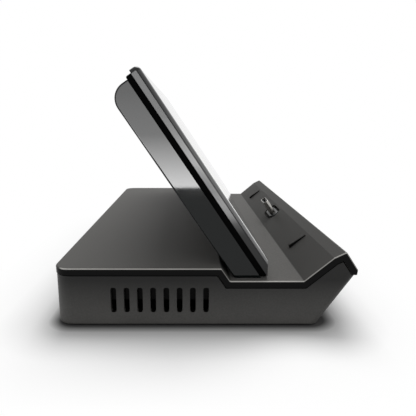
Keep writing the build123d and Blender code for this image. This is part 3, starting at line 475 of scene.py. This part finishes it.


# The cover's top level is partly painted sheen and its highlight level a painted highlight; the
# case's second level is painted bounce light
cover = rimmed_plastic("cover_plastic", 0.10, WARM, 0.5, rim_level=0.0075, highlight_level=0.56)
case = tub_plastic("case_plastic", 0.007, 0.095, WARM, 0.5)
dark = eroded_plastic("dark_plastic", 0.010, COOL, 0.45)
neck = eroded_plastic("neck_plastic", 0.018, COOL, 0.4)
core = eroded_plastic("core_plastic", 0.002, COOL, 0.6, specular=0.03)
resin = eroded_plastic("chip_resin", 0.012, COOL, 0.5, pit_size=0.0001)
shell_gloss = piano_plastic("gloss_shell", 0.004, (0.6, 1.0, 1.0), 0.04, 0.25)
plate_gloss = piano_plastic("gloss_plate", 0.010, (0.95, 1.0, 1.0), 0.10, 0.28, 0.05)
plug_metal = plated_metal("plug_metal", (0.42, 0.41, 0.39), 0.22)
steel = plated_metal("steel", (0.50, 0.50, 0.51), 0.3)
can_metal = plated_metal("can_metal", (0.60, 0.60, 0.61), 0.32)
socket_metal = plated_metal("socket_metal", (0.64, 0.64, 0.635), 0.28)
contact_metal = plated_metal("contact_metal", (0.80, 0.60, 0.30), 0.24)
screw = zinc_screw("screw_steel")
board = circuit_board("board")
film = film_cable("ribbon_film")
seal = soft_rubber("soft_seal", 0.008)
foot_rubber = soft_rubber("foot_rubber", 0.018)
pad = gap_filler("pad_rubber")

FINISHES = {
    "top_cover": cover,
    "bottom_case": case,
    "support_rear_shell": shell_gloss,
    "support_core": core,
    "support_front_plate": plate_gloss,
    "plug_shell": plug_metal,
    "plug_insert": dark,
    "plug_carrier": neck,
    "plug_board": board,
    "plug_gasket": seal,
    "pivot_pin": steel,
    "pivot_bracket_left": steel,
    "pivot_bracket_right": steel,
    "bracket_screws": screw,
    "ribbon": film,
    "ribbon_socket": dark,
    "main_board": board,
    "shield_can": can_metal,
    "thermal_pad": pad,
    "video_chip": resin,
    "hub_chip": resin,
    "power_chip": resin,
    "power_inductors": resin,
    "capacitors": can_metal,
    "foot_rear_left": foot_rubber,
    "foot_rear_right": foot_rubber,
    "foot_front_left": foot_rubber,
    "foot_front_right": foot_rubber,
    "case_screws": screw,
    "support_screws": screw,
    "board_screws": screw,
}
for socket in ("power", "hdmi", "usb_inner", "usb_outer"):
    FINISHES[f"{socket}_socket_shell"] = socket_metal
    FINISHES[f"{socket}_socket_insulator"] = dark
for name, finish in FINISHES.items():
    mesh = nodes[name].data
    mesh.materials.clear()
    mesh.materials.append(finish)


# Small pieces: millimetres, on the planes of the plug, the ramp and the sockets' mouths
MM = 0.001
LEAN = radians(56.0)
RAMP_SLOPE = radians(40.4)
PLUG_PLACE = (0, -34.0, 18.6258)
SOCKET_MOUTH_Y = 43.75


def plane(place, x_axis, z_axis):
    x, z = Vector(x_axis), Vector(z_axis)
    turned = Matrix((x, z.cross(x), z)).transposed().to_4x4()
    turned.translation = Vector(place) * MM
    return turned


PLUG_PLANE = plane(PLUG_PLACE, (1, 0, 0), (0, cos(LEAN), sin(LEAN)))
RAMP_PLANE = plane(PLUG_PLACE, (1, 0, 0), (0, sin(RAMP_SLOPE), cos(RAMP_SLOPE)))


def socket_plane(x, z):
    return plane((x, SOCKET_MOUTH_Y, z), (-1, 0, 0), (0, 1, 0))


def placed(where, x, y, z):
    return where @ (Vector((x, y, z)) * MM)


def finished(made, name, finish, smooth=True):
    bmesh.ops.recalc_face_normals(made, faces=made.faces)
    mesh = bpy.data.meshes.new(name)
    made.to_mesh(mesh)
    made.free()
    for face in mesh.polygons:
        face.use_smooth = smooth
    mesh.materials.append(finish)
    piece = bpy.data.objects.new(name, mesh)
    bpy.context.scene.collection.objects.link(piece)
    return piece


def join_rings(made, first, second):
    for i, corner in enumerate(first):
        made.faces.new((corner, first[i - 1], second[i - 1], second[i]))


# The boot's section: width, height and level of each ring, from its foot over the lip and back
BOOT_RINGS = (
    (RAMP_PLANE, 15.4, 6.4, -2.35),
    (RAMP_PLANE, 15.4, 6.4, -1.75),
    (RAMP_PLANE, 15.25, 6.25, -1.55),
    (RAMP_PLANE, 14.95, 5.98, -1.5),
    (RAMP_PLANE, 14.6, 5.8, -1.62),
    (RAMP_PLANE, 14.1, 5.6, -1.68),
    (RAMP_PLANE, 13.5, 5.35, -1.5),
    (PLUG_PLANE, 13.0, 5.15, -1.25),
    (PLUG_PLANE, 12.7, 5.0, -1.0),
    (PLUG_PLANE, 12.4, 4.85, -0.94),
    (PLUG_PLANE, 12.1, 4.6, -1.0),
    (PLUG_PLANE, 12.1, 4.6, -1.35),
    (PLUG_PLANE, 12.5, 4.95, -1.55),
    (RAMP_PLANE, 13.5, 5.4, -1.95),
    (RAMP_PLANE, 14.2, 5.7, -2.35),
)
TONGUE_OUTLINE = ((7.35, -2.2), (8.8, -2.2), (9.1, -1.8), (9.1, 1.8), (8.8, 2.2), (7.35, 2.2))
TONGUE_LEVELS = (-2.55, -2.15)
ARC_STEPS = 14


def stadium(made, where, width, height, level):
    """Ring of vertices round a slot's outline, at a level above the plane."""
    radius = height / 2
    ring = []
    for side in (1, -1):
        for step in range(ARC_STEPS + 1):
            angle = pi * (step / ARC_STEPS - 0.5)
            x = side * (width / 2 - radius + radius * cos(angle))
            ring.append(made.verts.new(placed(where, x, side * radius * sin(angle), level)))
    return ring


def add_boot():
    """Moulded seal round the plug's neck: its foot on the ramp's plane, its lip on the plug's."""
    made = bmesh.new()
    rings = [stadium(made, *ring) for ring in BOOT_RINGS]
    for first, second in zip(rings, rings[1:] + rings[:1]):
        join_rings(made, first, second)
    for side in (-1, 1):
        low, high = (
            [made.verts.new(placed(RAMP_PLANE, side * x, y, level)) for x, y in TONGUE_OUTLINE]
            for level in TONGUE_LEVELS
        )
        made.faces.new(low)
        made.faces.new(high)
        join_rings(made, low, high)
    boot = finished(made, "plug_boot", seal)
    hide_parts("plug_gasket")
    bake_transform(boot)


PLUG_SPRING = ((0.44, 1.2), (0.42, 3.6), (0.28, 4.7), (0.25, 5.0), (0.40, 5.6))
PLUG_SPRING_WIDTH = 0.27
PLUG_SPRING_THICKNESS = 0.08
FINE_COUNT = 12
FINE_PITCH = 0.5
PIN_PROUD = 0.12
PIN_THICKNESS = 0.05
PIN_RISE, PIN_CREST, PIN_FALL = 1.6, 0.9, 0.4
USB_XS = (-3.5, -1.0, 1.0, 3.5)


def add_strip(made, where, x, width, path, thickness):
    """Flat spring with a bent profile: path gives (y, z) along it."""
    half = width / 2
    section = ((-half, 0), (half, 0), (half, thickness), (-half, thickness))
    rows = [
        [made.verts.new(placed(where, x + dx, y + dy, z)) for dx, dy in section] for y, z in path
    ]
    for first, second in zip(rows, rows[1:]):
        join_rings(made, first, second)
    made.faces.new(rows[0])
    made.faces.new(rows[-1])


def spread_over(count, pitch):
    return [(i - (count - 1) / 2) * pitch for i in range(count)]


def add_plug_contacts():
    """Spring contacts on both walls of the plug's mouth."""
    made = bmesh.new()
    for side in (-1, 1):
        path = [(side * y, z) for y, z in PLUG_SPRING]
        for x in spread_over(FINE_COUNT, FINE_PITCH):
            add_strip(made, PLUG_PLANE, x, PLUG_SPRING_WIDTH, path, side * PLUG_SPRING_THICKNESS)
    pins = finished(made, "plug_contacts", contact_metal, smooth=False)
    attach(pins, "plug")


def add_socket_contacts(name, where, rows):
    """Contacts on a socket's tongue: each row has its xs, width, face, side and two ends."""
    made = bmesh.new()
    for xs, width, face, side, back, front in rows:
        crest = face + side * PIN_PROUD
        path = [
            (face, back),
            (face, front - PIN_RISE),
            (crest, front - PIN_CREST),
            (crest, front - PIN_FALL),
            (face, front),
        ]
        for x in xs:
            add_strip(made, where, x, width, path, side * PIN_THICKNESS)
    pins = finished(made, name, contact_metal, smooth=False)
    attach(pins, "base")


add_boot()
add_plug_contacts()
usb_rows = [(USB_XS, 1.0, -0.06, -1, -9.0, -1.6)]
hdmi_rows = [
    (spread_over(10, 1.0), 0.45, 0.94, 1, -8.0, -1.7),
    (spread_over(9, 1.0), 0.45, -0.34, -1, -8.0, -1.7),
]
power_rows = [
    (spread_over(FINE_COUNT, FINE_PITCH), 0.26, side * 0.34, side, -5.0, -1.3) for side in (1, -1)
]
for name, x, z, rows in (
    ("usb_inner_contacts", 8.0, 8.4, usb_rows),
    ("usb_outer_contacts", 31.0, 8.4, usb_rows),
    ("hdmi_contacts", -21.0, 8.25, hdmi_rows),
    ("power_contacts", -44.0, 7.13, power_rows),
):
    add_socket_contacts(name, socket_plane(x, z), rows)


# Floor: a shadow painted by how far a point is from a rectangle a little inside the dock's base
FLOOR_SIZE = 40.0
FLOOR_SEGMENTS = 8
BASE_MIDDLE = (0, 0.0037, 0)
BASE_HALF = (0.070, 0.0352, 0)
CONTACT_SHADOW_FROM_TO = (0.0052, 0.0088)
CONTACT_SHADOW_LEVEL = 0.1
HALO_SHADOW_FROM_TO = (0.006, 0.024)
HALO_SHADOW_LEVEL = 0.66
WHITE_FROM_TO = (0.009, 0.042)
PAPER_LEVEL = 0.80


def from_base(r):
    """How far a point is from that rectangle, in metres."""

    def step(operation, source, value=None):
        node = r.add("ShaderNodeVectorMath", operation=operation)
        r.link(source, node.inputs[0])
        if value is not None:
            node.inputs[1].default_value = value
        return node

    beyond = step("ABSOLUTE", step("SUBTRACT", r.place, BASE_MIDDLE).outputs[0]).outputs[0]
    outside = step("SUBTRACT", beyond, BASE_HALF).outputs[0]
    return step("LENGTH", step("MAXIMUM", outside, (0, 0, 0)).outputs[0]).outputs["Value"]


def add_floor():
    made = bmesh.new()
    bmesh.ops.create_grid(
        made, x_segments=FLOOR_SEGMENTS, y_segments=FLOOR_SEGMENTS, size=FLOOR_SIZE / 2
    )
    mesh = bpy.data.meshes.new("floor")
    made.to_mesh(mesh)
    made.free()
    floor = bpy.data.objects.new("floor", mesh)
    bpy.context.scene.collection.objects.link(floor)
    r = Recipe("floor_paper")
    path = r.add("ShaderNodeLightPath").outputs
    seen = r.add("ShaderNodeMath", operation="MAXIMUM")
    r.link(path["Is Camera Ray"], seen.inputs[0])
    r.link(path["Is Glossy Ray"], seen.inputs[1])
    away = from_base(r)
    paper = r.between(path["Is Camera Ray"], grey(PAPER_LEVEL), grey(1.0))
    # Painted shadow: dark along the base's edge, with a grey halo round it
    shadow_halo = r.between(r.spread(away, 0, 1, *HALO_SHADOW_FROM_TO), grey(HALO_SHADOW_LEVEL), paper)
    r.set(
        base_color=r.between(r.spread(away, 0, 1, *CONTACT_SHADOW_FROM_TO), grey(CONTACT_SHADOW_LEVEL), shadow_halo),
        roughness=0.9,
        specular_ior_level=0.0,
    )
    white = r.add("ShaderNodeEmission")
    joined = r.add("ShaderNodeMixShader")
    r.link(r.product(r.spread(away, 0, 1, *WHITE_FROM_TO), seen.outputs[0]), joined.inputs[0])
    r.link(r.shader.outputs[0], joined.inputs[1])
    r.link(white.outputs[0], joined.inputs[2])
    r.link(joined.outputs[0], r.output.inputs["Surface"])
    mesh.materials.append(r.material)


# Softboxes: each glow is (share of the card's height, level)
SHELL_CARD_X = -0.335
SHELL_CARD_SIDES = ((-0.024, 0), (0.12, 0), (0.14, 0.1), (0.04, 0.1))
SHELL_CARD_GLOW = ((0.0, 29), (0.21, 18.5), (0.48, 7.6), (0.72, 6.4), (0.86, 5.4), (1.0, 5.2))
SHELL_CARD_HEIGHT = 0.1
FAR_CARD_HALF = 2.6
FAR_CARD_Y = -0.9
FAR_CARD_HEIGHT = 1.6
FAR_CARD_GLOW = ((0.0, 5.0), (0.3, 4.4), (0.5, 1.5), (1.0, 0.0))
PLATE_THICKNESS = 0.00285
STRIP_FROM_TO = (-0.067, 0.004)
STRIP_OUT = 0.03
STRIP_MARGIN = 0.0008
STRIP_HEIGHT = 0.08
STRIP_GLOW = (
    (0.03, 0.0),
    (0.24, 0.5),
    (0.29, 3.0),
    (0.33, 10.0),
    (0.38, 12.0),
    (0.43, 10.5),
    (0.47, 9.5),
    (0.515, 11.5),
    (0.56, 17.0),
    (0.65, 13.0),
    (0.73, 9.5),
    (0.82, 8.0),
)


def glow_card(name, corners, levels, height, mirror):
    """A clear card whose glow only the named polished piece mirrors."""
    made = bmesh.new()
    made.faces.new([made.verts.new(corner) for corner in corners])
    mesh = bpy.data.meshes.new(name)
    made.to_mesh(mesh)
    made.free()
    card = bpy.data.objects.new(name, mesh)
    bpy.context.scene.collection.objects.link(card)
    r = Recipe(name + "_glow")
    ramp = r.add("ShaderNodeValToRGB")
    r.link(r.spread(r.component(r.place, "Z"), 0.0, 1.0, 0.0, height), ramp.inputs[0])
    stops = ramp.color_ramp.elements
    while len(stops) < len(levels):
        stops.new(0.5)
    for stop, (place, level) in zip(stops, levels):
        stop.position = place
        stop.color = (level, level, level, 1)
    glow = r.add("ShaderNodeEmission")
    r.link(ramp.outputs["Color"], glow.inputs["Strength"])
    clear = r.add("ShaderNodeBsdfTransparent")
    both = r.add("ShaderNodeAddShader")
    r.link(glow.outputs[0], both.inputs[0])
    r.link(clear.outputs[0], both.inputs[1])
    r.link(both.outputs[0], r.output.inputs["Surface"])
    mesh.materials.append(r.material)
    card.visible_camera = False
    card.visible_diffuse = False
    card.visible_shadow = False
    card.visible_transmission = False
    polished = bpy.data.collections.new(name + "_mirrors")
    polished.objects.link(nodes[mirror])
    card.light_linking.receiver_collection = polished


def strip_corners():
    """A strip beside the plate's left edge, just large enough to fill that edge's mirror."""
    low, high = (Vector(corner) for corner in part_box("support_front_plate"))
    camera = Vector(CAMERA_PLACE)
    up = Vector((0, cos(LEAN), sin(LEAN)))
    back = Vector((0, sin(LEAN), -cos(LEAN)))
    half = PLATE_THICKNESS / 2
    top = Vector((low.x, high.y - sin(LEAN) * half, high.z - cos(LEAN) * half))
    grown = STRIP_OUT / (low.x - camera.x)
    foot, head = STRIP_FROM_TO
    corners = []
    for along, across in ((foot, -1), (foot, 1), (head, 1), (head, -1)):
        point = top + up * along + back * across * (half + STRIP_MARGIN)
        moved = point + (point - camera) * grown
        corners.append((low.x - STRIP_OUT, moved.y, moved.z))
    return corners


def add_softboxes():
    """One behind the camera, one far in front, and a strip beside the plate's left edge."""
    corners = [(SHELL_CARD_X, y, z) for y, z in SHELL_CARD_SIDES]
    glow_card("softbox", corners, SHELL_CARD_GLOW, SHELL_CARD_HEIGHT, "support_rear_shell")
    corners = [
        (-FAR_CARD_HALF, FAR_CARD_Y, 0),
        (FAR_CARD_HALF, FAR_CARD_Y, 0),
        (FAR_CARD_HALF, FAR_CARD_Y, FAR_CARD_HEIGHT),
        (-FAR_CARD_HALF, FAR_CARD_Y, FAR_CARD_HEIGHT),
    ]
    glow_card("far_softbox", corners, FAR_CARD_GLOW, FAR_CARD_HEIGHT, "support_front_plate")
    glow_card("strip_softbox", strip_corners(), STRIP_GLOW, STRIP_HEIGHT, "support_front_plate")


# Light: a soft dome, and one square softbox high beyond the dock's right end
HORIZON_LIGHT = 0.5
ZENITH_LIGHT = 0.66
BACK_LIGHT_PLACE = (0.9, -0.1, 1.5)
BACK_LIGHT_SIZE = 1.0
BACK_LIGHT_WATTS = 17.0


def add_back_light():
    data = bpy.data.lights.new("back_softbox", "AREA")
    data.size = BACK_LIGHT_SIZE
    data.energy = BACK_LIGHT_WATTS
    light = bpy.data.objects.new("back_softbox", data)
    light.location = BACK_LIGHT_PLACE
    light.rotation_euler = (-Vector(BACK_LIGHT_PLACE)).to_track_quat("-Z", "Y").to_euler()
    bpy.context.scene.collection.objects.link(light)


def add_world():
    """The dome, with a white background for what is seen directly or mirrored."""
    world = bpy.data.worlds.new("world")
    bpy.context.scene.world = world
    world.use_nodes = True
    tree = world.node_tree
    shade = tree.nodes["Background"]

    def larger(first, second):
        node = tree.nodes.new("ShaderNodeMath")
        node.operation = "MAXIMUM"
        tree.links.new(first, node.inputs[0])
        tree.links.new(second, node.inputs[1])
        return node.outputs[0]

    path = tree.nodes.new("ShaderNodeLightPath").outputs
    seen = larger(path["Is Camera Ray"], path["Is Glossy Ray"])
    seen = larger(seen, path["Is Transmission Ray"])
    place = tree.nodes.new("ShaderNodeTexCoord")
    axes = tree.nodes.new("ShaderNodeSeparateXYZ")
    tree.links.new(place.outputs["Generated"], axes.inputs[0])
    dome = tree.nodes.new("ShaderNodeMapRange")
    tree.links.new(axes.outputs["Z"], dome.inputs["Value"])
    dome.inputs["To Min"].default_value = HORIZON_LIGHT
    dome.inputs["To Max"].default_value = ZENITH_LIGHT
    mixed = tree.nodes.new("ShaderNodeMix")
    tree.links.new(seen, mixed.inputs["Factor"])
    tree.links.new(dome.outputs["Result"], mixed.inputs["A"])
    mixed.inputs["B"].default_value = 1.0
    tree.links.new(mixed.outputs["Result"], shade.inputs["Strength"])
    shade.inputs["Color"].default_value = (1, 1, 1, 1)


add_camera()
add_floor()
add_softboxes()
add_world()
add_back_light()
bpy.context.scene.view_settings.view_transform = "Standard"
